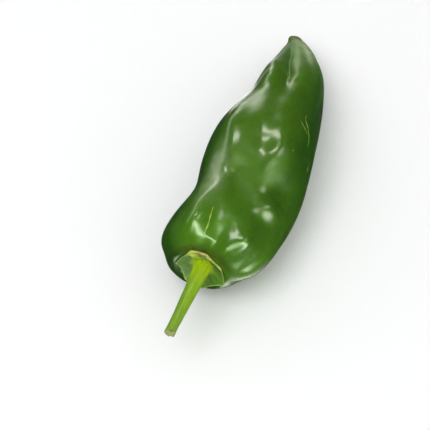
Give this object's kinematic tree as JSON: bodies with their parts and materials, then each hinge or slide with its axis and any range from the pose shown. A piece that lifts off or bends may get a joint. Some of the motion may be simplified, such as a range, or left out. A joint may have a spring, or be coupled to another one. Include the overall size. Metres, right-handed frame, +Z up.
{
  "type": "italian frying pepper",
  "caption": "Long green frying pepper lying on its side: a glossy, lobed and gently bent pod that tapers to a point, with a dished calyx and a slender ribbed stem.",
  "frame": {"origin": "middle of the bounding box's base, on the surface that the pepper lies on", "axes": "+Y from the stem towards the tip, +Z up"},
  "size_m": [0.06, 0.2134, 0.0519],
  "materials": {
    "green_skin": "waxy and glossy, with broad pale sheens along the lobes",
    "calyx_green": "matt grey-green with a paler, dry rim",
    "stem_green": "satin yellow-green, duller towards the pale cut end"
  },
  "bodies": {
    "root": {"pod": "green_skin", "calyx": "calyx_green", "stem": "stem_green"}
  },
  "joints": []
}
